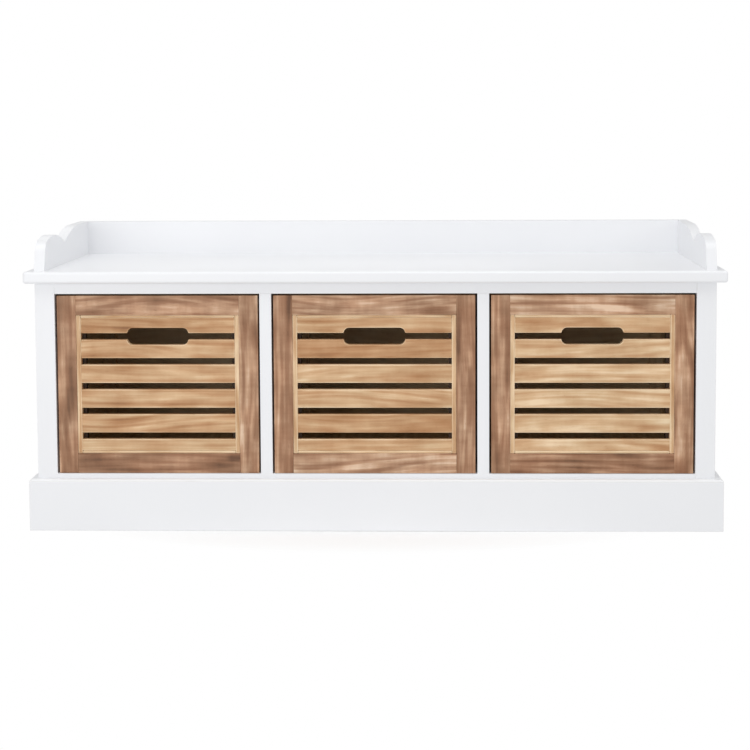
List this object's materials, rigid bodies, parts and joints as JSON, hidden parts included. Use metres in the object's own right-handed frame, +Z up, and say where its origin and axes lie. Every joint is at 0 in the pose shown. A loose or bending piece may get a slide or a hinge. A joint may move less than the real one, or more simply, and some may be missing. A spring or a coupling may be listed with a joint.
{
  "type": "entryway storage bench",
  "caption": "White entryway bench on a plinth, with a low shaped gallery round the seat and slatted wooden crates that slide out below it.",
  "frame": {"origin": "on the floor, under the middle of the bench's own box", "axes": "+X along the bench to the viewer's right, -Y out of the front, +Z up"},
  "size_m": [1.07, 0.37, 0.455],
  "materials": {
    "white_lacquer": "satin",
    "raw_softwood": "matte",
    "hardboard": "matte",
    "beech": "matte",
    "stained_wood": "satin",
    "honey_wood": "satin",
    "crate_wood": "matte",
    "zinc_steel": "satin"
  },
  "bodies": {
    "carcass": {"seat_top": "white_lacquer", "gallery_back": "white_lacquer", "gallery_end_left": "white_lacquer", "gallery_end_right": "white_lacquer", "side_panel_left": "white_lacquer", "side_panel_right": "white_lacquer", "partition_left": "white_lacquer", "partition_right": "white_lacquer", "bottom_shelf": "white_lacquer", "face_stile_left": "white_lacquer", "face_stile_right": "white_lacquer", "face_top_rail": "white_lacquer", "plinth_front": "white_lacquer", "plinth_side_left": "white_lacquer", "plinth_side_right": "white_lacquer", "plinth_back_rail": "raw_softwood", "plinth_bearers": "raw_softwood", "plinth_blocks": "raw_softwood", "seat_cleats": "raw_softwood", "crate_guides": "raw_softwood", "back_panel": "hardboard", "dowels": "beech", "seat_screws": "zinc_steel", "back_panel_nails": "zinc_steel"},
    "crate_left": {"crate_left_front_stile_left": "stained_wood", "crate_left_front_stile_right": "stained_wood", "crate_left_front_rail_top": "stained_wood", "crate_left_front_rail_bottom": "stained_wood", "crate_left_front_slats": "honey_wood", "crate_left_front_beads": "honey_wood", "crate_left_side_left": "crate_wood", "crate_left_side_right": "crate_wood", "crate_left_back_board": "crate_wood", "crate_left_floor": "crate_wood", "crate_left_battens": "crate_wood", "crate_left_pins": "zinc_steel"},
    "crate_centre": {"crate_centre_front_stile_left": "stained_wood", "crate_centre_front_stile_right": "stained_wood", "crate_centre_front_rail_top": "stained_wood", "crate_centre_front_rail_bottom": "stained_wood", "crate_centre_front_slats": "honey_wood", "crate_centre_front_beads": "honey_wood", "crate_centre_side_left": "crate_wood", "crate_centre_side_right": "crate_wood", "crate_centre_back_board": "crate_wood", "crate_centre_floor": "crate_wood", "crate_centre_battens": "crate_wood", "crate_centre_pins": "zinc_steel"},
    "crate_right": {"crate_right_front_stile_left": "stained_wood", "crate_right_front_stile_right": "stained_wood", "crate_right_front_rail_top": "stained_wood", "crate_right_front_rail_bottom": "stained_wood", "crate_right_front_slats": "honey_wood", "crate_right_front_beads": "honey_wood", "crate_right_side_left": "crate_wood", "crate_right_side_right": "crate_wood", "crate_right_back_board": "crate_wood", "crate_right_floor": "crate_wood", "crate_right_battens": "crate_wood", "crate_right_pins": "zinc_steel"}
  },
  "joints": [
    {"name": "crate_left_slide", "type": "slide", "parent": "carcass", "child": "crate_left", "axis": [0, -1, 0], "range_m": [0, 0.3]},
    {"name": "crate_centre_slide", "type": "slide", "parent": "carcass", "child": "crate_centre", "axis": [0, -1, 0], "range_m": [0, 0.3]},
    {"name": "crate_right_slide", "type": "slide", "parent": "carcass", "child": "crate_right", "axis": [0, -1, 0], "range_m": [0, 0.3]}
  ]
}
